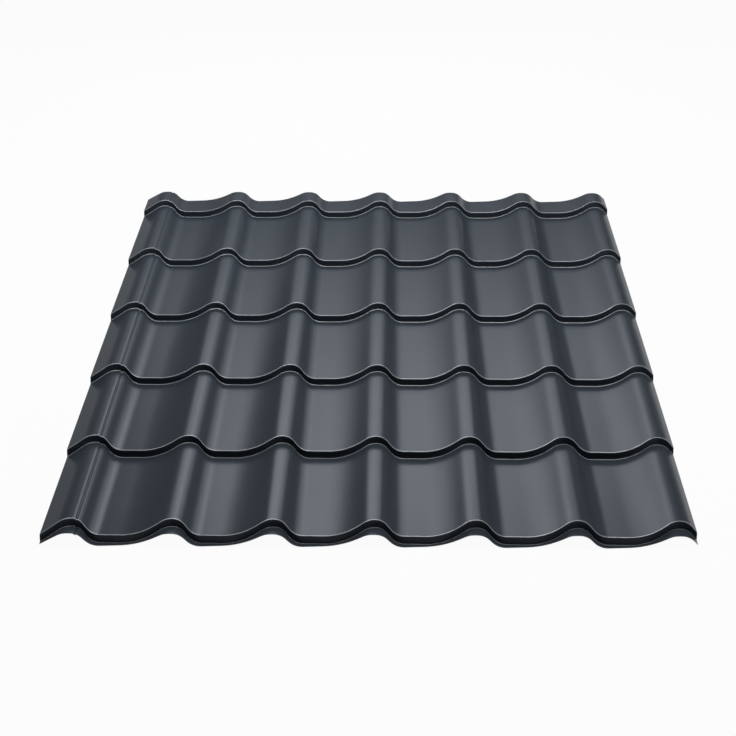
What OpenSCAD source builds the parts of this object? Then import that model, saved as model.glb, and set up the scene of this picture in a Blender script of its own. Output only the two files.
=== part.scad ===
// Steel tile roofing sheet.
// One coated steel sheet, roll formed into lengthwise waves and then pressed
// into steps, so that it looks like rows of roof tiles. It lies level, on the
// feet of its steps, with the lower (eave) end towards -Y and the ridge end
// towards +Y. The origin is on the floor, under the middle of the sheet.

/* [Cover] */
// Width that the sheet covers, from its first crest line to its last
cover_width = 1100; // [920:10:1400]
// Number of whole waves across that width
wave_count = 6; // [3:1:7]
// Length of one row of tiles, from step to step
tile_length = 350; // [250:10:450]
// Number of whole rows of tiles
tile_rows = 5; // [1:1:7]

/* [Sheet] */
// Thickness of the coated steel
sheet_t = 0.5; // [0.4:0.05:0.8]
// Width of the flange outside the first crest line, which goes under the next sheet
left_flange = 52.5; // [42:0.5:64]
// Width of the flange outside the last crest line, which laps over the next sheet
right_flange = 32; // [30:0.5:36]
// Slope of the left flange below its crest, in degrees
left_flange_slope = 28.5; // [20:0.5:32]
// Length of the lip in front of the first step, measured in the pans
eave_lip = 15; // [12:1:40]
// Length of the plain strip behind the last step
ridge_strip = 95; // [40:5:150]

/* [Wave section] */
// Height of the waves, from pan to crest
wave_h = 24.5; // [22:0.5:30]
// Width of the flat crown along the top of each crest, with the crest line in its middle
crown = 6; // [2:0.5:8]
// Radius between the crown and the long side
crest_r = 38; // [32:1:45]
// Radius between the crown and the steep side
shoulder_r = 30; // [26:1:34]
// Largest radius between the steep side and the pan
foot_r = 35; // [25:1:45]
// Largest radius of the long curve from the pan up to the next crest
rise_r = 165; // [120:1:220]
// Slope of the steep side, in degrees
steep_slope = 45; // [38:1:52]
// Slope of the long side below the crest, in degrees
rise_slope = 25; // [21:0.5:29]
// Slope across the flat middle of the pan, in degrees
pan_slope = 2; // [1:0.5:4]

/* [Steps] */
// Height of the step at the front of each row
step_h = 15; // [10:1:20]
// How far the step line lies further back on a crest than in a pan
nose_depth = 16.5; // [10:0.5:30]
// How far the long side of each tile bulges forward of that
nose_bulge = 8; // [0:0.5:10]
// Distance from a crest line to where that bulge begins
bulge_start = 40; // [30:5:80]
// How far that bulge leans towards the next crest; 1 is even
bulge_lean = 1.4; // [1:0.1:1.6]
// Bend radius along the top edge of a step
nose_bend_r = 3; // [1.5:0.5:4]
// Bend radius along the foot of a step
foot_bend_r = 2.5; // [1.5:0.5:4]

/* [Drain groove] */
// Distance from the first crest line to the middle of the groove
groove_offset = 12; // [10:0.5:15]
// Width of the groove, which stops water from creeping over the lap
groove_w = 7; // [5:0.5:9]
// Depth of the groove
groove_d = 1.5; // [1:0.25:2]

/* [Facets] */
// Largest gap between a facet of the section and its true arc; a big sheet takes a larger one
arc_gap = 0.35; // [0.35:0.05:1]
// Number of facets around the bend at the top of a step
nose_facets = 2; // [1:1:2]
// Number of facets around the bend at the foot of a step
foot_facets = 1; // [1:1:2]

/* [Hidden] */

wave_pitch = cover_width / wave_count;
// Slope at which the tiles lie when the feet of their steps are level
lay_angle = atan(step_h / tile_length);

// --- Radii and straight stretches of one wave, which join tangentially ---
// Each bend leaves at least this much straight sheet beside it.
shortest_flat = 1;
wave_foot_r = min(
    foot_r,
    (wave_h - shortest_flat * sin(steep_slope)) / (1 - cos(steep_slope)) - shoulder_r
);
steep_length = (wave_h - (shoulder_r + wave_foot_r) * (1 - cos(steep_slope))) / sin(steep_slope);
// Height and width left for the pan and the long side
climb = wave_h - wave_foot_r * (1 - cos(pan_slope)) - crest_r * (1 - cos(rise_slope));
run = wave_pitch - crown - crest_r * sin(rise_slope)
    - shoulder_r * sin(steep_slope) - steep_length * cos(steep_slope)
    - wave_foot_r * (sin(steep_slope) + sin(pan_slope));
rise_turn = rise_slope - pan_slope;
wave_rise_r = min(
    rise_r,
    (climb * cos(pan_slope) - run * sin(pan_slope) - shortest_flat * sin(rise_turn))
        / (1 - cos(rise_turn))
);
// What the long curve leaves of that height and width for its two straight ends
flat_climb = climb - wave_rise_r * (cos(pan_slope) - cos(rise_slope));
flat_run = run - wave_rise_r * (sin(rise_slope) - sin(pan_slope));
pan_length = (flat_run * sin(rise_slope) - flat_climb * cos(rise_slope)) / sin(rise_turn);
rise_length = (flat_climb * cos(pan_slope) - flat_run * sin(pan_slope)) / sin(rise_turn);

// --- The first crest's right half, with the drain groove rolled into its shoulder ---
function on_shoulder(angle, depth = 0) =
    let (r = shoulder_r - depth)
    [crown / 2 + r * sin(angle), wave_h - shoulder_r + r * cos(angle)];
function shoulder_angle(x) = asin((x - crown / 2) / shoulder_r);
groove_angle = shoulder_angle(groove_offset);
groove_half = groove_w / 2 / shoulder_r * 180 / PI;
grooved_crest = [
    on_shoulder(0),
    on_shoulder(groove_angle - groove_half),
    on_shoulder(groove_angle - groove_half / 3, groove_d),
    on_shoulder(groove_angle + groove_half / 3, groove_d),
    on_shoulder(groove_angle + groove_half),
    on_shoulder((groove_angle + groove_half + steep_slope) / 2),
    on_shoulder(steep_slope)
];

// --- Flanges: the left one slopes down to the level of the pans, and is flat past that ---
left_bend = [
    -crown / 2 - crest_r * sin(left_flange_slope),
    wave_h - crest_r * (1 - cos(left_flange_slope))
];
left_reach = left_bend.x - left_bend.y / tan(left_flange_slope);
left_edge = -left_flange < left_reach
    ? [[-left_flange, 0], [left_reach, 0]]
    : [[-left_flange, (-left_flange - left_reach) * tan(left_flange_slope)]];
right_bend = on_shoulder(steep_slope);
right_edge = [right_flange, right_bend.y - (right_flange - right_bend.x) * tan(steep_slope)];

// --- How finely the section is divided ---
// Points along the sheet: its two ends, and the bends of every step
rails = 2 + (tile_rows + 1) * (nose_facets + foot_facets + 2);
// Most points on one side of the sheet, so that the solid stays light
most_points = 3240;
function arc_facets(r, turn, gap) = ceil(abs(turn) / (2 * acos(1 - gap / r)));
function wave_points(gap) =
    1 + arc_facets(shoulder_r, steep_slope, gap)
    + 1 + arc_facets(wave_foot_r, steep_slope + pan_slope, gap)
    + 1 + arc_facets(wave_rise_r, rise_turn, gap)
    + 1 + arc_facets(crest_r, rise_slope, gap);
function edge_points(gap) =
    len(left_edge) + 1 + arc_facets(crest_r, left_flange_slope, gap) + len(grooved_crest) + 1;
function light_gap(gap) =
    rails * (wave_count * wave_points(gap) + edge_points(gap)) <= most_points
    ? gap
    : light_gap(gap * 1.05);
facet_gap = light_gap(arc_gap);

// --- Section of one wave, from the point after one crest to the next crest ---
// Points along an arc from p, whose tangent there slopes by angle a, that
// turns upward by so many degrees (downward if negative). p is left out.
function arc(p, a, r, turn) =
    let (n = arc_facets(r, turn, facet_gap), side = sign(turn))
    [for (i = [1:n])
        let (b = a + turn * i / n)
        [p.x + side * r * (sin(b) - sin(a)), p.y + side * r * (cos(a) - cos(b))]];
function last(points) = points[len(points) - 1];
function along(p, a, distance) = p + distance * [cos(a), sin(a)];
function shifted(points, dx) = [for (p = points) p + [dx, 0]];

crown_end = on_shoulder(0);
crest_right = concat([crown_end], arc(crown_end, 0, shoulder_r, -steep_slope));
steep_foot = along(right_bend, -steep_slope, steep_length);
foot_arc = arc(steep_foot, -steep_slope, wave_foot_r, steep_slope + pan_slope);
pan_end = along(last(foot_arc), pan_slope, pan_length);
rise_arc = arc(pan_end, pan_slope, wave_rise_r, rise_turn);
rise_end = along(last(rise_arc), rise_slope, rise_length);
crest_left = arc(rise_end, rise_slope, crest_r, -rise_slope);
after_crest = concat([steep_foot], foot_arc, [pan_end], rise_arc, [rise_end], crest_left);

// The whole section across the sheet, from the left edge to the right edge
section = concat(
    left_edge,
    [left_bend],
    arc(left_bend, left_flange_slope, crest_r, -left_flange_slope),
    grooved_crest,
    after_crest,
    [for (k = [1:wave_count - 1]) each shifted(concat(crest_right, after_crest), k * wave_pitch)],
    shifted(concat(crest_right, [right_edge]), cover_width)
);

// --- Plan shape of the step line: set back on the crests, bulging between ---
function in_wave(x) = x < 0 ? x + wave_pitch : x - wave_pitch * floor(x / wave_pitch);
function bulge_share(x) = max(0, (in_wave(x) - bulge_start) / (wave_pitch - bulge_start));
// The groove doesn't bend the step line: across it, the crest's own height counts.
function plain_height(p) = abs(p.x - groove_offset) < groove_w / 2
    ? on_shoulder(shoulder_angle(p.x)).y
    : p.y;
function setback(p) = nose_depth * plain_height(p) / wave_h
    - nose_bulge * sin(180 * pow(bulge_share(p.x), bulge_lean));
step_line = [for (p = section) [p.x, setback(p)]];

// --- Path from the eave to the ridge: [y, z] with every step in it ---
function step_path(row) =
    let (y = row * tile_length, z = row * step_h)
    concat(
        [for (i = [0:foot_facets])
            let (a = 90 * i / foot_facets)
            [y - foot_bend_r * (1 - sin(a)), z + foot_bend_r * (1 - cos(a))]],
        [for (i = [0:nose_facets])
            let (a = 90 * i / nose_facets)
            [y + nose_bend_r * (1 - cos(a)), z + step_h - nose_bend_r * (1 - sin(a))]]
    );
path = concat(
    [[-eave_lip, 0]],
    [for (row = [0:tile_rows]) each step_path(row)],
    [[tile_rows * tile_length + ridge_strip, (tile_rows + 1) * step_h]]
);

// --- Directions at the points of a polyline: [angle, mitre factor] ---
function heading(points, i) = atan2(points[i + 1].y - points[i].y, points[i + 1].x - points[i].x);
function direction(points, i) =
    let (
        before = heading(points, max(0, i - 1)),
        after = heading(points, min(len(points) - 2, i))
    )
    [(before + after) / 2, 1 / cos((after - before) / 2)];
function directions(points) = [for (i = [0:len(points) - 1]) direction(points, i)];

across = directions(section);
in_plan = directions(step_line);
up_roof = directions(path);
columns = len(section);

// --- The face of the sheet, and its back one thickness below ---
// The straight cut at either end doesn't follow the step line.
function follows(i) = i == 0 || i == rails - 1 ? 0 : 1;
function face_point(i, j) =
    [section[j].x, path[i].x + follows(i) * step_line[j].y, section[j].y + path[i].y];
function face_normal(i, j) =
    let (
        plan = follows(i) * tan(in_plan[j][0]),
        slope = tan(across[j][0]),
        forward = cos(up_roof[i][0]),
        up = sin(up_roof[i][0])
    )
    [plan * up - slope * forward, -up, forward];
function back_point(i, j) =
    let (n = face_normal(i, j))
    face_point(i, j) - sheet_t * across[j][1] * up_roof[i][1] * n / norm(n);

// --- Laying the sheet down on the feet of its steps ---
function tilted(p) = [
    p.x,
    p.y * cos(lay_angle) + p.z * sin(lay_angle),
    p.z * cos(lay_angle) - p.y * sin(lay_angle)
];
tilted_points = concat(
    [for (i = [0:rails - 1], j = [0:columns - 1]) tilted(face_point(i, j))],
    [for (i = [0:rails - 1], j = [0:columns - 1]) tilted(back_point(i, j))]
);
lowest = [for (axis = [0:2]) min([for (p = tilted_points) p[axis]])];
highest = [for (axis = [0:2]) max([for (p = tilted_points) p[axis]])];
under_middle = [(lowest.x + highest.x) / 2, (lowest.y + highest.y) / 2, lowest.z];

// --- Facets: the face, the back, and the rim of cut edges between them ---
back_first = rails * columns;
function at(i, j) = i * columns + j;
face_facets = [for (i = [0:rails - 2], j = [0:columns - 2])
    [at(i, j), at(i + 1, j), at(i + 1, j + 1), at(i, j + 1)]];
back_facets = [for (facet = face_facets)
    [for (k = [3:-1:0]) facet[k] + back_first]];
rim = concat(
    [for (j = [0:columns - 1]) at(0, j)],
    [for (i = [1:rails - 1]) at(i, columns - 1)],
    [for (j = [columns - 2:-1:0]) at(rails - 1, j)],
    [for (i = [rails - 2:-1:1]) at(i, 0)]
);
rim_facets = [for (k = [0:len(rim) - 1])
    let (a = rim[k], b = rim[(k + 1) % len(rim)])
    [a, b, b + back_first, a + back_first]];

// The pressed sheet
module tile_sheet() {
    color("#3f454c")
        polyhedron(
            points = [for (p = tilted_points) p - under_middle],
            faces = concat(face_facets, back_facets, rim_facets)
        );
}

tile_sheet();
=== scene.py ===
import math
from collections import namedtuple

import bmesh
import bpy
import numpy as np
from bpy.props import FloatProperty, FloatVectorProperty, IntProperty, PointerProperty
from mathutils import Euler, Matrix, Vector


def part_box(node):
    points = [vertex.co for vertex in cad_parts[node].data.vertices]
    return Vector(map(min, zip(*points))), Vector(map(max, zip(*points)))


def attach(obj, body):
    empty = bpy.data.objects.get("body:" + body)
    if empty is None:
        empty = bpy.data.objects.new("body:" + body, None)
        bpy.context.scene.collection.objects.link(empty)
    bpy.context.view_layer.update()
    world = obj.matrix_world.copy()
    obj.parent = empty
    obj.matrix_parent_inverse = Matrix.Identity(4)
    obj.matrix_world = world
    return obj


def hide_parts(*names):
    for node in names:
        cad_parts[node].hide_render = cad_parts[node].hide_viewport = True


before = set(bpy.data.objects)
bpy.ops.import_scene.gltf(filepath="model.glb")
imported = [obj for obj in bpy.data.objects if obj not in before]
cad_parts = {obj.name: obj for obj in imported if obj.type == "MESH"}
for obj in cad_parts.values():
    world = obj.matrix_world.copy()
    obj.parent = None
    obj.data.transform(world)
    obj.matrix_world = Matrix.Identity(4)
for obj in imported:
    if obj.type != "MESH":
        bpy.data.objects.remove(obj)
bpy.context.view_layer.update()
LOW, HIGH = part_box("tile_sheet")

bl_info = {
    "name": "Steel tile roofing sheet",
    "version": (1, 0, 0),
    "blender": (4, 5, 0),
    "location": "3D View > Sidebar > Roofing",
    "description": "Presses a coated steel tile sheet and sets the stage that shows it",
    "category": "Add Mesh",
}

MM = 0.001
LEFT_FLANGE = 52.5 * MM
RIGHT_FLANGE = 32 * MM
EAVE_LIP = 15 * MM
TILE_LENGTH = 350 * MM
TILE_ROWS = 5
STEP_HEIGHT = 15 * MM
WAVE_HEIGHT = 24.5 * MM
THICKNESS = 0.5 * MM

# Material slots: the face has slot 0
BACK_SLOT = 1
EDGE_SLOT = 2


def lay_angle(step_height, tile_length):
    """How far each tile slopes back when the sheet lies on the feet of its steps."""
    return math.atan(step_height / tile_length)


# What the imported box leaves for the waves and, behind the last step, for the plain strip
COVER_WIDTH = round(HIGH.x - LOW.x - LEFT_FLANGE - RIGHT_FLANGE, 3)
LAY = lay_angle(STEP_HEIGHT, TILE_LENGTH)
TOTAL_RISE = (TILE_ROWS + 1) * STEP_HEIGHT + WAVE_HEIGHT + THICKNESS
TOTAL_LENGTH = (HIGH.y - LOW.y - TOTAL_RISE * math.sin(LAY)) / math.cos(LAY)
RIDGE_STRIP = round(TOTAL_LENGTH - TILE_ROWS * TILE_LENGTH - EAVE_LIP, 3)


# Where the camera looks: just left of the middle, nearer the eave
AIM = Vector((-0.009, -0.125, 0))

# Soft boxes by the direction they hang in, in degrees from the ridge towards the right, and their size
SoftBox = namedtuple("SoftBox", "name azimuth elevation distance width height brightness color")
COOL = (0.86, 0.93, 1.0)
NEUTRAL = (1.0, 1.0, 1.0)
SOFT_BOXES = (
    SoftBox("overhead", 0, 90, 3.0, 1.29, 1.29, 11.5, NEUTRAL),
    SoftBox("left_high", -90, 65, 3.0, 1.33, 1.15, 1.4, NEUTRAL),
    SoftBox("right_low", 100, 17, 4.0, 2.67, 1.8, 3.3, NEUTRAL),
    SoftBox("ridge_high", -10, 44, 2.6, 0.65, 1.09, 5.6, COOL),
    SoftBox("ridge_near", 0, 27, 2.6, 1.62, 0.45, 3.9, COOL),
    SoftBox("ridge_near_low", 0, 17, 2.6, 1.74, 0.45, 0.75, COOL),
    SoftBox("ridge_far", 2, 27, 5.0, 0.93, 0.52, 3.1, COOL),
)

# A tight bend is painted paler as a highlight where it faces mostly up, toward the overhead light: between
# these headings of its line
HIGHLIGHT_FROM, HIGHLIGHT_TO = math.radians(10), math.radians(40)
# Facets around the shoulder that carries the drain groove, fine enough for its shape
GROOVE_SHOULDER_PIECES = 36

# What the press does to the drain groove in front of each step. Every bump or dent has a share of the
# pucker height, a place beside the groove's middle and before the step's foot, and a width and a length
# over which it fades, all four in millimetres.
Pucker = namedtuple("Pucker", "share beside width before length")
PUCKERS = (
    Pucker(1.0, -3.2, 2.0, 4.5, 3.0),
    Pucker(-1.3, 0.6, 2.2, 2.5, 3.5),
    Pucker(0.8, 5.4, 1.8, 3.0, 2.5),
)

# How far streaks lighten, darken and dull a coat, how dark and dense its pits are, and what rubbing does
STREAK_TONE = 0.05
STREAK_DULLING = 0.03
PIT_SHADE = 0.7
PIT_COVER = 0.25
RUB_PALING = 0.3
RUB_DULLING = 0.2
# How much paler than the back coat its painted bend highlight and its rub marks are
BACK_HIGHLIGHT_AND_RUB_SHADE = 1.25

# On a cut edge: where zinc ends and torn steel begins, as shares of the thickness from the face, how ragged
# that line is, how much rougher torn steel is, and the shears' scratches
ZINC_ENDS, STEEL_BEGINS = 0.45, 0.7
RAGGEDNESS = 0.3
SMEAR_SHINE = 0.1
TORN_DULLING = 0.25
SCRATCH_SIZE = 0.4 * MM
SCRATCH_SHADE = 0.6
SCRATCH_COVER = 0.4


def length(name, description, default):
    """A size in metres, as a property."""
    return FloatProperty(name=name, description=description, default=default, unit="LENGTH", precision=4)


def slope(name, description, degrees):
    """An angle, given in degrees, as a property."""
    return FloatProperty(name=name, description=description, default=math.radians(degrees), subtype="ANGLE")


def share(name, description, default):
    """A value from 0 to 1, as a property."""
    return FloatProperty(name=name, description=description, default=default, min=0, max=1, subtype="FACTOR")


def tint(name, description, default):
    """A colour, as a property."""
    return FloatVectorProperty(
        name=name, description=description, default=default, min=0, max=1, size=3, subtype="COLOR"
    )


class SheetSizes(bpy.types.PropertyGroup):
    """Sizes of the sheet's section, of its steps and of its edges."""

    cover_width: length("Cover width", "From the first crest line to the last", COVER_WIDTH)
    wave_count: IntProperty(name="Waves", description="Whole waves across the cover width", default=6, min=3)
    tile_length: length("Tile length", "From step to step", TILE_LENGTH)
    tile_rows: IntProperty(name="Rows", description="Whole rows of tiles", default=TILE_ROWS, min=1)
    thickness: length("Thickness", "Thickness of the coated steel", THICKNESS)
    left_flange: length("Left flange", "Width outside the first crest line", LEFT_FLANGE)
    right_flange: length("Right flange", "Width outside the last crest line", RIGHT_FLANGE)
    left_slope: slope("Left flange slope", "Slope of the left flange below its crest", 28.5)
    eave_lip: length("Eave lip", "Lip in front of the first step, in the pans", EAVE_LIP)
    ridge_strip: length("Ridge strip", "Plain strip behind the last step", RIDGE_STRIP)
    wave_height: length("Wave height", "From pan to crest", WAVE_HEIGHT)
    crown: length("Crown", "Width of the flat crown along each crest", 6 * MM)
    crest_radius: length("Crest radius", "Radius between the crown and the long side", 38 * MM)
    shoulder_radius: length("Shoulder radius", "Radius between the crown and the steep side", 30 * MM)
    foot_radius: length("Foot radius", "Radius between the steep side and the pan", 35 * MM)
    rise_radius: length("Rise radius", "Radius of the long curve up to the next crest", 165 * MM)
    steep_slope: slope("Steep slope", "Slope of the steep side", 45)
    rise_slope: slope("Rise slope", "Slope of the long side below the crest", 25)
    pan_slope: slope("Pan slope", "Slope across the flat middle of the pan", 2)
    step_height: length("Step height", "Height of the step at the front of each row", STEP_HEIGHT)
    nose_depth: length("Nose depth", "How far back the step line lies on a crest", 16.5 * MM)
    nose_bulge: length("Nose bulge", "How far the long side of a tile bulges forward", 8 * MM)
    bulge_start: length("Bulge start", "Distance from a crest line to where the bulge begins", 40 * MM)
    bulge_lean: FloatProperty(name="Bulge lean", description="How far it leans over; 1 is even", default=1.4)
    nose_bend: length("Nose bend", "Bend radius along the top edge of a step", 3 * MM)
    foot_bend: length("Foot bend", "Bend radius along the foot of a step", 2.5 * MM)
    groove_offset: length("Groove offset", "Distance of the drain groove from the first crest line", 12 * MM)
    groove_width: length("Groove width", "Width of the drain groove", 7 * MM)
    groove_depth: length("Groove depth", "Depth of the drain groove", 1.5 * MM)
    pucker: length("Pucker", "How high the groove's puckers stand in front of each step", 1.5 * MM)
    facet: length("Facet width", "Width of the mesh's facets across the sheet", 4.5 * MM)


class SheetFinish(bpy.types.PropertyGroup):
    """Colours, gloss and grain of the coated face, of the back and of the cut edges."""

    coat: tint("Coat", "Colour of the face's coating", (0.032, 0.040, 0.050))
    # Painted highlight: the pale colour painted along the up-facing tight bends; rub marks pale towards it
    # too
    highlight_coat: tint("Highlight coat", "Colour of the face's coating where it is stretched", (0.45, 0.48, 0.51))
    coat_roughness: share("Coat roughness", "Roughness of the face's coating", 0.32)
    coat_gloss: share("Coat gloss", "Specular level of the face's coating", 0.1)
    back: tint("Back coat", "Colour of the thin coat on the back", (0.33, 0.34, 0.33))
    back_roughness: share("Back roughness", "Roughness of the thin coat on the back", 0.45)
    back_gloss: share("Back gloss", "Specular level of the thin coat on the back", 0.5)
    zinc: tint("Zinc", "Colour of the zinc that the shears smear over the edge", (0.52, 0.53, 0.54))
    steel: tint("Steel", "Colour of the torn steel on the edge", (0.24, 0.24, 0.25))
    steel_roughness: share("Steel roughness", "Roughness of the cut edge", 0.42)
    peel_size: length("Peel size", "Size of the coating's orange peel", 3 * MM)
    peel_depth: length("Peel depth", "Depth of the coating's orange peel", 0.003 * MM)
    streak_width: length("Streak width", "Width of the faint streaks along the coil", 45 * MM)
    # How strongly the painted highlight pales the tight bends
    painted_highlight: share("Bend wear", "How much the coating pales along the tight bends", 0.9)
    bend_gloss: share("Bend gloss", "Specular level where the rolls burnish the tight bends", 1.0)
    rub_marks: share("Rub marks", "How much handling has marked the coating", 0.12)


class StageSettings(bpy.types.PropertyGroup):
    """Where the camera stands, and how the studio is lit."""

    camera_distance: length("Camera distance", "From the lens to the point it looks at", 4.558)
    camera_elevation: slope("Camera elevation", "Angle at which the camera looks down", 23.607)
    camera_azimuth: slope("Camera azimuth", "Angle by which the camera looks to the left", 0.622)
    lens: FloatProperty(name="Lens", description="Focal length in millimetres", default=103.87)
    floor_size: length("Floor size", "Side of the square floor", 400.0)
    floor: tint("Floor", "Colour of the floor", (0.6, 0.6, 0.6))
    floor_white: share("Floor white", "How much of the floor shows as plain white", 0.95)
    light: FloatProperty(name="Light", description="Strength of all soft boxes together", default=1, min=0)
    ambient: share("Ambient", "Strength of the light from all around", 0.08)


class Profile:
    """A line walked over straight and bent stretches: points (along, up), and 1 where a bend gets the
    painted highlight.
    """

    def __init__(self, start, heading, facet):
        self.points = [start]
        self.bent = [0.0]
        self.heading = heading
        self.facet = facet

    def straight(self, distance, pieces=0):
        """Goes straight on, in pieces of about one facet each."""
        pieces = pieces or max(1, round(distance / self.facet))
        x, z = self.points[-1]
        for i in range(1, pieces + 1):
            step = distance * i / pieces
            self.points.append((x + step * math.cos(self.heading), z + step * math.sin(self.heading)))
            self.bent.append(0.0)

    def bend(self, radius, turn, pieces=0):
        """Turns upward by an angle, or downward where it is negative."""
        pieces = pieces or max(2, round(radius * abs(turn) / self.facet))
        side = math.copysign(radius, turn)
        x, z = self.points[-1]
        for i in range(1, pieces + 1):
            to = self.heading + turn * i / pieces
            self.points.append((
                x + side * (math.sin(to) - math.sin(self.heading)),
                z + side * (math.cos(self.heading) - math.cos(to)),
            ))
            # 1 where this part of a bend faces up enough to get the painted highlight
            self.bent.append(float(HIGHLIGHT_FROM < to < HIGHLIGHT_TO))
        self.heading += turn


def straight_lengths(s):
    """Lengths of the steep side, the flat pan and the long side that join the bends of one wave."""
    steep = s.wave_height - (s.shoulder_radius + s.foot_radius) * (1 - math.cos(s.steep_slope))
    steep /= math.sin(s.steep_slope)
    climb = (
        s.wave_height
        - s.foot_radius * (1 - math.cos(s.pan_slope))
        - s.rise_radius * (math.cos(s.pan_slope) - math.cos(s.rise_slope))
        - s.crest_radius * (1 - math.cos(s.rise_slope))
    )
    run = (
        s.cover_width / s.wave_count
        - s.crown
        - s.shoulder_radius * math.sin(s.steep_slope)
        - steep * math.cos(s.steep_slope)
        - s.foot_radius * (math.sin(s.steep_slope) + math.sin(s.pan_slope))
        - s.rise_radius * (math.sin(s.rise_slope) - math.sin(s.pan_slope))
        - s.crest_radius * math.sin(s.rise_slope)
    )
    turn = math.sin(s.rise_slope - s.pan_slope)
    pan = (run * math.sin(s.rise_slope) - climb * math.cos(s.rise_slope)) / turn
    rise = (climb * math.cos(s.pan_slope) - run * math.sin(s.pan_slope)) / turn
    return steep, pan, rise


def section(s):
    """The sheet's section from its left edge to its right edge, as rows of (x, z)."""
    steep, pan, rise = straight_lengths(s)
    flange = (s.left_flange - s.crown / 2 - s.crest_radius * math.sin(s.left_slope)) / math.cos(s.left_slope)
    left_height = (
        s.wave_height - s.crest_radius * (1 - math.cos(s.left_slope)) - flange * math.sin(s.left_slope)
    )
    line = Profile((-s.left_flange, left_height), s.left_slope, s.facet)
    line.straight(flange)
    line.bend(s.crest_radius, -s.left_slope)
    for wave in range(s.wave_count):
        line.straight(s.crown, pieces=2)
        line.bend(s.shoulder_radius, -s.steep_slope, pieces=0 if wave else GROOVE_SHOULDER_PIECES)
        line.straight(steep)
        line.bend(s.foot_radius, s.steep_slope + s.pan_slope)
        line.straight(pan)
        line.bend(s.rise_radius, s.rise_slope - s.pan_slope)
        line.straight(rise)
        line.bend(s.crest_radius, -s.rise_slope)
    line.straight(s.crown, pieces=2)
    line.bend(s.shoulder_radius, -s.steep_slope)
    reach = s.cover_width + s.right_flange - line.points[-1][0]
    line.straight(reach / math.cos(s.steep_slope))
    return np.array(line.points)


def groove(s, points):
    """Rolls the drain groove into the first crest's shoulder, toward the centre of its bend."""
    centre = np.array([s.crown / 2, s.wave_height - s.shoulder_radius])
    arm = points - centre
    distance = np.linalg.norm(arm, axis=1)
    reach = s.shoulder_radius * math.sin(s.steep_slope)
    on_shoulder = (arm[:, 0] > 0) & (arm[:, 0] < reach)
    middle = math.asin((s.groove_offset - centre[0]) / s.shoulder_radius)
    across = s.shoulder_radius * (np.arctan2(arm[:, 0], arm[:, 1]) - middle)
    share_of_half = np.clip(np.abs(across) / (s.groove_width / 2), 0, 1)
    depth = s.groove_depth * 0.5 * (1 + np.cos(math.pi * share_of_half)) * on_shoulder
    return points - arm / distance[:, None] * depth[:, None]


def setback(s, x, z):
    """How far back the step line lies at a point of the section without its groove."""
    pitch = s.cover_width / s.wave_count
    in_wave = np.where(x < 0, x + pitch, np.mod(x, pitch))
    bulge = np.maximum(0, (in_wave - s.bulge_start) / (pitch - s.bulge_start))
    return s.nose_depth * z / s.wave_height - s.nose_bulge * np.sin(math.pi * bulge**s.bulge_lean)


def path(s):
    """The line from the eave to the ridge over every step, in its own (y, z)."""
    tile_facet = 60 * MM
    # A short straight beside each bend keeps its smooth shading off the flat of the tile
    guard = 1 * MM
    # The last stretch before a foot has short facets, which carry the groove's puckers
    near_foot = 16 * MM
    tile = Profile((-s.eave_lip, 0.0), 0.0, tile_facet)
    tile.straight(s.eave_lip - s.foot_bend - guard, pieces=5)
    for row in range(s.tile_rows + 1):
        tile.straight(guard, pieces=1)
        tile.bend(s.foot_bend, math.pi / 2, pieces=5)
        tile.straight(s.step_height - s.foot_bend - s.nose_bend, pieces=2)
        tile.bend(s.nose_bend, -math.pi / 2, pieces=6)
        tile.straight(guard, pieces=1)
        if row == s.tile_rows:
            tile.straight(s.ridge_strip - s.nose_bend - guard, pieces=3)
            break
        tile.straight(s.tile_length - s.foot_bend - s.nose_bend - 2 * guard - near_foot)
        tile.straight(near_foot, pieces=5)
    return tile


def sheet_surface(s):
    """Points of the sheet's face, as an array over rails and columns."""
    plain = section(s)
    back = setback(s, plain[:, 0], plain[:, 1])
    across = groove(s, plain)
    along = np.array(path(s).points)
    rails, columns = len(along), len(across)
    # The straight cut at either end doesn't follow the step line; between it and the step it blends in.
    first, last = -s.foot_bend, s.tile_rows * s.tile_length + s.nose_bend
    follows = np.clip((along[:, 0] + s.eave_lip) / (first + s.eave_lip), 0, 1)
    strip = s.ridge_strip - s.nose_bend
    follows *= np.clip((last + strip - along[:, 0]) / strip, 0, 1)
    surface = np.empty((rails, columns, 3))
    surface[:, :, 0] = across[:, 0]
    surface[:, :, 1] = along[:, None, 0] + follows[:, None] * back
    surface[:, :, 2] = along[:, None, 1] + across[:, 1]
    return surface


def crush_groove(s, surface):
    """Puckers the drain groove where each step is pressed across it."""
    past_foot = 4
    plain = section(s)
    back = setback(s, plain[:, 0], plain[:, 1])
    for row in range(s.tile_rows + 1):
        foot = row * s.tile_length - s.foot_bend
        before = (foot - (surface[:, :, 1] - back)) / MM
        beside = (surface[:, :, 0] - s.groove_offset) / MM
        shape = np.zeros_like(before)
        for spot in PUCKERS:
            off_middle = (beside - spot.beside) / spot.width
            off_foot = (before - spot.before) / spot.length
            shape += spot.share * np.exp(-(off_middle**2) - off_foot**2)
        below_step = surface[:, :, 2] < row * s.step_height + s.wave_height + s.foot_bend
        surface[:, :, 2] += np.where((before > -past_foot) & below_step, s.pucker * shape, 0)
    return surface


def lay_down(s, points):
    """Lays the sheet on the feet of its steps."""
    lay = lay_angle(s.step_height, s.tile_length)
    cos, sin = math.cos(lay), math.sin(lay)
    laid = points.copy()
    laid[..., 1] = points[..., 1] * cos + points[..., 2] * sin
    laid[..., 2] = points[..., 2] * cos - points[..., 1] * sin
    return laid


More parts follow.
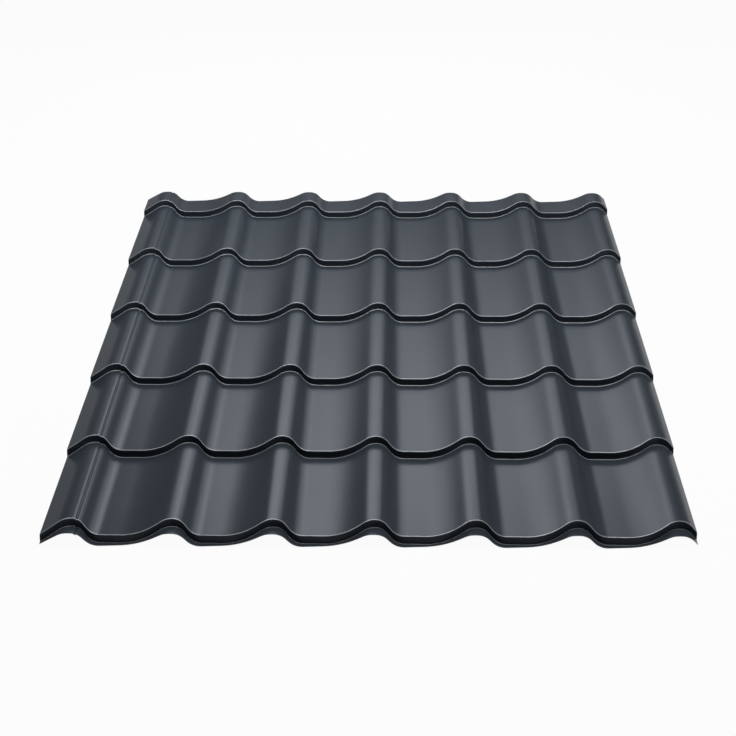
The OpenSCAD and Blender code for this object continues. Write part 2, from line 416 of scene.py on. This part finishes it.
def grid_mesh(name, surface):
    """A mesh of quads over an array of points, facing up."""
    rails, columns = surface.shape[:2]
    number = np.arange(rails * columns).reshape(rails, columns)
    quads = np.stack(
        [number[:-1, :-1], number[:-1, 1:], number[1:, 1:], number[1:, :-1]], axis=-1
    ).reshape(-1, 4)
    mesh = bpy.data.meshes.new(name)
    mesh.from_pydata(surface.reshape(-1, 3).tolist(), [], quads.tolist())
    mesh.validate()
    return mesh


def add_object(name, mesh):
    """Links a new object that holds the mesh."""
    piece = bpy.data.objects.new(name, mesh)
    bpy.context.scene.collection.objects.link(piece)
    return piece


def apply_modifiers(piece):
    """Replaces the object's mesh by its modifiers' result."""
    graph = bpy.context.evaluated_depsgraph_get()
    mesh = bpy.data.meshes.new_from_object(piece.evaluated_get(graph))
    piece.modifiers.clear()
    old, piece.data = piece.data, mesh
    name = old.name
    bpy.data.meshes.remove(old)
    mesh.name = name


def thicken(piece, thickness):
    """Gives the face its back and its cut edges, in material slots of their own."""
    solid = piece.modifiers.new("Thickness", "SOLIDIFY")
    solid.thickness = thickness
    solid.offset = -1
    solid.use_even_offset = True
    solid.use_quality_normals = True
    solid.material_offset = BACK_SLOT
    solid.material_offset_rim = EDGE_SLOT
    apply_modifiers(piece)


def sharpen_rim(mesh):
    """Keeps the cut edges crisp under smooth shading."""
    mesh.polygons.foreach_set("use_smooth", [True] * len(mesh.polygons))
    work = bmesh.new()
    work.from_mesh(mesh)
    for edge in work.edges:
        slots = {face.material_index for face in edge.link_faces}
        edge.smooth = len(slots) == 1
    work.to_mesh(mesh)
    work.free()


def put_on_floor(mesh):
    """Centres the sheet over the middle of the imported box, with its lowest point on the floor."""
    points = np.empty(len(mesh.vertices) * 3)
    mesh.vertices.foreach_get("co", points)
    points = points.reshape(-1, 3)
    low, high = points.min(0), points.max(0)
    points += ((LOW.x + HIGH.x - low[0] - high[0]) / 2, (LOW.y + HIGH.y - low[1] - high[1]) / 2, -low[2])
    mesh.vertices.foreach_set("co", np.clip(points, LOW, HIGH).ravel())
    mesh.update()


def node(tree, kind, **settings):
    """A new node whose settings and inputs are given by name; a socket given as a value is linked."""
    made = tree.nodes.new(kind)
    for key, value in settings.items():
        if key not in made.inputs:
            setattr(made, key, value)
        elif isinstance(value, bpy.types.NodeSocket):
            tree.links.new(value, made.inputs[key])
        else:
            made.inputs[key].default_value = value
    return made


def calculate(tree, operation, *values, clamp=False):
    """The result of a Math node over sockets and numbers."""
    made = tree.nodes.new("ShaderNodeMath")
    made.operation = operation
    made.use_clamp = clamp
    for socket, value in zip(made.inputs, values):
        if isinstance(value, bpy.types.NodeSocket):
            tree.links.new(value, socket)
        else:
            socket.default_value = value
    return made.outputs[0]


def remap(tree, value, low, high, to_low=0.0, to_high=1.0):
    """A value brought smoothly from one range to another."""
    settings = {"From Min": low, "From Max": high, "To Min": to_low, "To Max": to_high}
    made = node(tree, "ShaderNodeMapRange", interpolation_type="SMOOTHSTEP", Value=value, **settings)
    return made.outputs["Result"]


def blend_colors(tree, factor, first, second):
    """A mix of two colours, each a socket or a plain colour."""
    made = tree.nodes.new("ShaderNodeMix")
    made.data_type = "RGBA"
    for name, value in (("Factor_Float", factor), ("A_Color", first), ("B_Color", second)):
        socket = next(i for i in made.inputs if i.identifier == name)
        if isinstance(value, bpy.types.NodeSocket):
            tree.links.new(value, socket)
        else:
            socket.default_value = value if name == "Factor_Float" else (*value, 1)
    return next(o for o in made.outputs if o.identifier == "Result_Color")


def new_group(name, inputs, outputs):
    """A shader node group: inputs are (name, default), a default of None being a vector."""
    tree = bpy.data.node_groups.new(name, "ShaderNodeTree")
    for label, default in inputs:
        kind = "NodeSocketVector" if default is None else "NodeSocketFloat"
        socket = tree.interface.new_socket(name=label, in_out="INPUT", socket_type=kind)
        if default is not None:
            socket.default_value = default
    for label in outputs:
        tree.interface.new_socket(name=label, in_out="OUTPUT", socket_type="NodeSocketFloat")
    return tree, tree.nodes.new("NodeGroupInput").outputs, tree.nodes.new("NodeGroupOutput").inputs


def stretched(tree, vector, across, along):
    """Coordinates divided by one size across the sheet and another along it."""
    size = node(tree, "ShaderNodeCombineXYZ", X=across, Y=along, Z=across)
    made = node(tree, "ShaderNodeVectorMath", operation="DIVIDE")
    tree.links.new(vector, made.inputs[0])
    tree.links.new(size.outputs[0], made.inputs[1])
    return made.outputs["Vector"]


def noise(tree, vector, detail=2.0, roughness=0.5):
    """Noise with features about one unit wide."""
    made = node(tree, "ShaderNodeTexNoise", Vector=vector, Scale=1.0, Detail=detail, Roughness=roughness)
    return made.outputs["Fac"]


def coil_streaks_group():
    """Faint streaks along the coil the sheet was rolled from, and weaker cloudy patches over them."""
    tree, given, result = new_group(
        "coil_streaks",
        (("Vector", None), ("Width", 0.04), ("Length", 1.5), ("Patch", 0.12)),
        ("Tone",),
    )
    streaks = noise(tree, stretched(tree, given["Vector"], given["Width"], given["Length"]), 3.0, 0.6)
    patches = noise(tree, stretched(tree, given["Vector"], given["Patch"], given["Patch"]), 2.0)
    both = calculate(tree, "MULTIPLY_ADD", streaks, 0.7, calculate(tree, "MULTIPLY", patches, 0.3))
    tree.links.new(remap(tree, both, 0.32, 0.68), result["Tone"])
    return tree


def fine_grain_group():
    """The coating's orange peel with a finer grain on it, as a height and as a mask of its pits."""
    tree, given, result = new_group("fine_grain", (("Vector", None), ("Size", 0.003)), ("Height", "Pits"))
    scaled = stretched(tree, given["Vector"], given["Size"], given["Size"])
    cells = node(
        tree, "ShaderNodeTexVoronoi", feature="SMOOTH_F1", Vector=scaled, Scale=1.0, Smoothness=0.7
    )
    fine = calculate(tree, "DIVIDE", given["Size"], 5.0)
    grain = noise(tree, stretched(tree, given["Vector"], fine, fine), 2.0)
    height = calculate(tree, "MULTIPLY_ADD", cells.outputs["Distance"], -0.8, grain)
    tree.links.new(calculate(tree, "MULTIPLY_ADD", height, 0.6, 0.4), result["Height"])
    tree.links.new(remap(tree, grain, 0.62, 0.78), result["Pits"])
    return tree


def handling_marks_group():
    """Fine rub marks, mostly along the sheet, in the few places where hands and other sheets touch it."""
    tree, given, result = new_group(
        "handling_marks", (("Vector", None), ("Size", 0.002), ("Cover", 0.3)), ("Mask",)
    )
    long_size = calculate(tree, "MULTIPLY", given["Size"], 40.0)
    strokes = noise(tree, stretched(tree, given["Vector"], given["Size"], long_size), 2.0, 0.7)
    off_middle = calculate(tree, "ABSOLUTE", calculate(tree, "SUBTRACT", strokes, 0.5))
    lines = remap(tree, off_middle, 0.0, 0.03, 1, 0)
    spot_size = calculate(tree, "MULTIPLY", given["Size"], 70.0)
    spots = noise(tree, stretched(tree, given["Vector"], spot_size, spot_size), 3.0)
    touched = remap(tree, calculate(tree, "MULTIPLY_ADD", given["Cover"], 0.2, spots), 0.6, 0.75)
    tree.links.new(calculate(tree, "MULTIPLY", lines, touched, clamp=True), result["Mask"])
    return tree


def painted_highlight_group():
    """Painted highlight along the tight bends that face up, uneven along them; it also sets where the rolls
    burnish them.
    """
    tree, given, result = new_group(
        "painted_highlight", (("Vector", None), ("Bend", 0.0), ("Size", 0.006)), ("Mask",)
    )
    broken = noise(tree, stretched(tree, given["Vector"], given["Size"], given["Size"]), 4.0, 0.65)
    patchy = remap(tree, broken, 0.3, 0.7, 0.7, 1.0)
    tree.links.new(calculate(tree, "MULTIPLY", given["Bend"], patchy, clamp=True), result["Mask"])
    return tree


def place_group(tree, group, **values):
    """Puts a node group into a material, with its inputs given by name; returns its outputs."""
    made = tree.nodes.new("ShaderNodeGroup")
    made.node_tree = group
    for key, value in values.items():
        if isinstance(value, bpy.types.NodeSocket):
            tree.links.new(value, made.inputs[key])
        else:
            made.inputs[key].default_value = value
    return made.outputs


def new_material(name):
    """A new material with its node tree, its Principled shader and its object coordinates."""
    material = bpy.data.materials.new(name)
    material.use_nodes = True
    tree = material.node_tree
    place = tree.nodes.new("ShaderNodeTexCoord").outputs["Object"]
    return material, tree, tree.nodes["Principled BSDF"], place


def attribute(tree, name):
    """A value stored on the mesh's points."""
    return node(tree, "ShaderNodeAttribute", attribute_name=name).outputs["Fac"]


def shaded(color, factor):
    """A colour made lighter or darker."""
    return tuple(min(1.0, channel * factor) for channel in color)


def coating_material(name, groups, finish, color, roughness, gloss, highlight_and_rub_color):
    """A coil coating: streaks, orange peel, rub marks, and tight bends that are burnished and painted paler
    as a highlight.
    """
    material, tree, shader, place = new_material(name)
    streaks = place_group(tree, groups["streaks"], Vector=place, Width=finish.streak_width)["Tone"]
    grain = place_group(tree, groups["grain"], Vector=place, Size=finish.peel_size)
    marks = place_group(tree, groups["marks"], Vector=place, Cover=finish.rub_marks)["Mask"]
    # Mask of the painted highlight on the bends, from the stored bend flags; it also raises the gloss there
    highlight = place_group(tree, groups["highlight"], Vector=place, Bend=attribute(tree, "bend"))["Mask"]
    highlight_share = calculate(tree, "MULTIPLY", highlight, finish.painted_highlight)
    marked = calculate(tree, "MULTIPLY", marks, finish.rub_marks)
    toned = blend_colors(tree, streaks, shaded(color, 1 - STREAK_TONE), shaded(color, 1 + STREAK_TONE))
    pits = calculate(tree, "MULTIPLY", grain["Pits"], PIT_COVER)
    pitted = blend_colors(tree, pits, toned, shaded(color, PIT_SHADE))
    # Painted highlight: the up-facing bends are painted paler
    paled = blend_colors(tree, highlight_share, pitted, highlight_and_rub_color)
    rubbed = blend_colors(tree, calculate(tree, "MULTIPLY", marked, RUB_PALING), paled, highlight_and_rub_color)
    tree.links.new(rubbed, shader.inputs["Base Color"])
    dull = calculate(tree, "MULTIPLY_ADD", streaks, STREAK_DULLING, roughness - STREAK_DULLING / 2)
    dull = calculate(tree, "MULTIPLY_ADD", marked, RUB_DULLING, dull)
    tree.links.new(dull, shader.inputs["Roughness"])
    burnished = calculate(tree, "MULTIPLY_ADD", highlight, finish.bend_gloss - gloss, gloss)
    tree.links.new(burnished, shader.inputs["Specular IOR Level"])
    height = calculate(tree, "MULTIPLY", grain["Height"], finish.peel_depth)
    bump = node(tree, "ShaderNodeBump", Strength=1.0, Distance=1.0, Height=height)
    tree.links.new(bump.outputs["Normal"], shader.inputs["Normal"])
    return material


def edge_material(name, groups, finish):
    """The cut edge: smeared zinc by the face, torn steel below it."""
    material, tree, shader, place = new_material(name)
    grain = place_group(tree, groups["grain"], Vector=place, Size=finish.peel_size / 6)
    marks = place_group(tree, groups["marks"], Vector=place, Size=SCRATCH_SIZE, Cover=1.0)["Mask"]
    ragged = calculate(tree, "MULTIPLY_ADD", grain["Height"], RAGGEDNESS, attribute(tree, "depth"))
    torn = remap(tree, ragged, ZINC_ENDS, STEEL_BEGINS)
    metal = blend_colors(tree, torn, finish.zinc, finish.steel)
    scratches = calculate(tree, "MULTIPLY", marks, SCRATCH_COVER)
    scratched = blend_colors(tree, scratches, metal, shaded(finish.steel, SCRATCH_SHADE))
    tree.links.new(scratched, shader.inputs["Base Color"])
    dull = calculate(tree, "MULTIPLY_ADD", torn, TORN_DULLING, finish.steel_roughness - SMEAR_SHINE)
    tree.links.new(dull, shader.inputs["Roughness"])
    height = calculate(tree, "MULTIPLY", grain["Height"], finish.peel_depth * 3)
    bump = node(tree, "ShaderNodeBump", Strength=1.0, Distance=1.0, Height=height)
    tree.links.new(bump.outputs["Normal"], shader.inputs["Normal"])
    shader.inputs["Metallic"].default_value = 1.0
    return material


def sheet_materials(finish):
    """The face's, the back's and the cut edge's materials, in the order of their slots."""
    groups = {
        "streaks": coil_streaks_group(),
        "grain": fine_grain_group(),
        "marks": handling_marks_group(),
        "highlight": painted_highlight_group(),
    }
    face = coating_material(
        "coated_steel", groups, finish, finish.coat, finish.coat_roughness, finish.coat_gloss,
        finish.highlight_coat,
    )
    back = coating_material(
        "back_coat", groups, finish, finish.back, finish.back_roughness, finish.back_gloss,
        # The back's bends get the painted highlight too, in a paler back coat colour
        shaded(finish.back, BACK_HIGHLIGHT_AND_RUB_SHADE),
    )
    return face, back, edge_material("cut_edge", groups, finish)


def store_bend_highlights(mesh, s):
    """Stores 1 where the tight bends along every step get the painted highlight, and 0 elsewhere."""
    bent = np.array(path(s).bent, dtype=np.float32)
    values = np.repeat(bent, len(mesh.vertices) // len(bent))
    # The bend attribute holds where the painted highlight goes
    mesh.attributes.new("bend", "FLOAT", "POINT").data.foreach_set("value", values)


def mark_depth(mesh):
    """Stores how far each point lies from the face, 0 on it and 1 on the back."""
    depth = np.zeros(len(mesh.vertices), dtype=np.float32)
    for polygon in mesh.polygons:
        if polygon.material_index == BACK_SLOT:
            depth[list(polygon.vertices)] = 1
    mesh.attributes.new("depth", "FLOAT", "POINT").data.foreach_set("value", depth)


class ROOFING_OT_press_sheet(bpy.types.Operator):
    """Press the tile sheet and coat it"""

    bl_idname = "roofing.press_sheet"
    bl_label = "Press Tile Sheet"
    bl_options = {"REGISTER", "UNDO"}

    def execute(self, context):
        sizes = context.scene.sheet_sizes
        finish = context.scene.sheet_finish
        surface = lay_down(sizes, crush_groove(sizes, sheet_surface(sizes)))
        sheet = add_object("steel_tile_sheet", grid_mesh("steel_tile_sheet", surface))
        for material in sheet_materials(finish):
            sheet.data.materials.append(material)
        store_bend_highlights(sheet.data, sizes)
        thicken(sheet, sizes.thickness)
        put_on_floor(sheet.data)
        sharpen_rim(sheet.data)
        mark_depth(sheet.data)
        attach(sheet, "root")
        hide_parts("tile_sheet")
        return {"FINISHED"}


def floor_material(stage):
    """A pale floor whose own white the camera and reflections see, with the sheet's shadow on it."""
    material = bpy.data.materials.new("pale_floor")
    material.use_nodes = True
    tree = material.node_tree
    shader = tree.nodes["Principled BSDF"]
    shader.inputs["Base Color"].default_value = (*stage.floor, 1)
    shader.inputs["Roughness"].default_value = 0.9
    shader.inputs["Specular IOR Level"].default_value = 0.1
    white = node(tree, "ShaderNodeEmission", Strength=1.0)
    ray = tree.nodes.new("ShaderNodeLightPath").outputs
    seen = calculate(tree, "ADD", ray["Is Camera Ray"], ray["Is Glossy Ray"])
    seen = calculate(tree, "ADD", seen, ray["Is Transmission Ray"], clamp=True)
    mix = tree.nodes.new("ShaderNodeMixShader")
    tree.links.new(calculate(tree, "MULTIPLY", seen, stage.floor_white), mix.inputs[0])
    tree.links.new(shader.outputs[0], mix.inputs[1])
    tree.links.new(white.outputs[0], mix.inputs[2])
    tree.links.new(mix.outputs[0], tree.nodes["Material Output"].inputs["Surface"])
    return material


def hang_soft_box(box, strength):
    """A soft box that faces the middle of the sheet; its strength is its brightness, 1 being white."""
    azimuth, elevation = math.radians(box.azimuth), math.radians(box.elevation)
    away = Vector((
        math.sin(azimuth) * math.cos(elevation),
        math.cos(azimuth) * math.cos(elevation),
        math.sin(elevation),
    ))
    light = bpy.data.lights.new(box.name, "AREA")
    light.shape = "RECTANGLE"
    light.size = box.width
    light.size_y = box.height
    light.energy = math.pi * box.width * box.height * box.brightness * strength
    light.color = box.color
    lamp = bpy.data.objects.new(box.name, light)
    lamp.location = away * box.distance
    lamp.rotation_euler = (-away).to_track_quat("-Z", "Y").to_euler()
    lamp.visible_camera = False
    bpy.context.scene.collection.objects.link(lamp)


class ROOFING_OT_set_stage(bpy.types.Operator):
    """Set the floor, the soft boxes and the camera"""

    bl_idname = "roofing.set_stage"
    bl_label = "Set Stage"
    bl_options = {"REGISTER", "UNDO"}

    def execute(self, context):
        stage = context.scene.stage_settings
        bpy.ops.mesh.primitive_plane_add(size=stage.floor_size)
        floor = context.object
        floor.name = "floor"
        floor.data.materials.append(floor_material(stage))
        for box in SOFT_BOXES:
            hang_soft_box(box, stage.light)
        world = bpy.data.worlds.new("studio")
        world.use_nodes = True
        world.node_tree.nodes["Background"].inputs["Color"].default_value = (1, 1, 1, 1)
        world.node_tree.nodes["Background"].inputs["Strength"].default_value = stage.ambient
        context.scene.world = world
        camera = bpy.data.cameras.new("camera")
        camera.sensor_width = 36
        camera.lens = stage.lens
        eye = bpy.data.objects.new("camera", camera)
        context.scene.collection.objects.link(eye)
        turn = Euler((math.pi / 2 - stage.camera_elevation, 0, stage.camera_azimuth))
        eye.rotation_euler = turn
        eye.location = AIM + turn.to_matrix() @ Vector((0, 0, stage.camera_distance))
        context.scene.camera = eye
        context.scene.view_settings.view_transform = "Standard"
        return {"FINISHED"}


class ROOFING_PT_sidebar(bpy.types.Panel):
    """Lists the sheet's operators and sizes"""

    bl_label = "Tile Sheet"
    bl_space_type = "VIEW_3D"
    bl_region_type = "UI"
    bl_category = "Roofing"

    def draw(self, context):
        scene = context.scene
        for operator, settings in (
            (ROOFING_OT_press_sheet, (scene.sheet_sizes, scene.sheet_finish)),
            (ROOFING_OT_set_stage, (scene.stage_settings,)),
        ):
            box = self.layout.box()
            box.operator(operator.bl_idname)
            for group in settings:
                for name in group.bl_rna.properties.keys():
                    if name not in ("rna_type", "name"):
                        box.prop(group, name)


CLASSES = (
    SheetSizes,
    SheetFinish,
    StageSettings,
    ROOFING_OT_press_sheet,
    ROOFING_OT_set_stage,
    ROOFING_PT_sidebar,
)


def register():
    for cls in CLASSES:
        bpy.utils.register_class(cls)
    bpy.types.Scene.sheet_sizes = PointerProperty(type=SheetSizes)
    bpy.types.Scene.sheet_finish = PointerProperty(type=SheetFinish)
    bpy.types.Scene.stage_settings = PointerProperty(type=StageSettings)


def unregister():
    del bpy.types.Scene.stage_settings
    del bpy.types.Scene.sheet_finish
    del bpy.types.Scene.sheet_sizes
    for cls in reversed(CLASSES):
        bpy.utils.unregister_class(cls)


def main():
    """Makes the sheet and its stage."""
    register()
    bpy.ops.roofing.press_sheet()
    bpy.ops.roofing.set_stage()


if __name__ == "__main__":
    main()
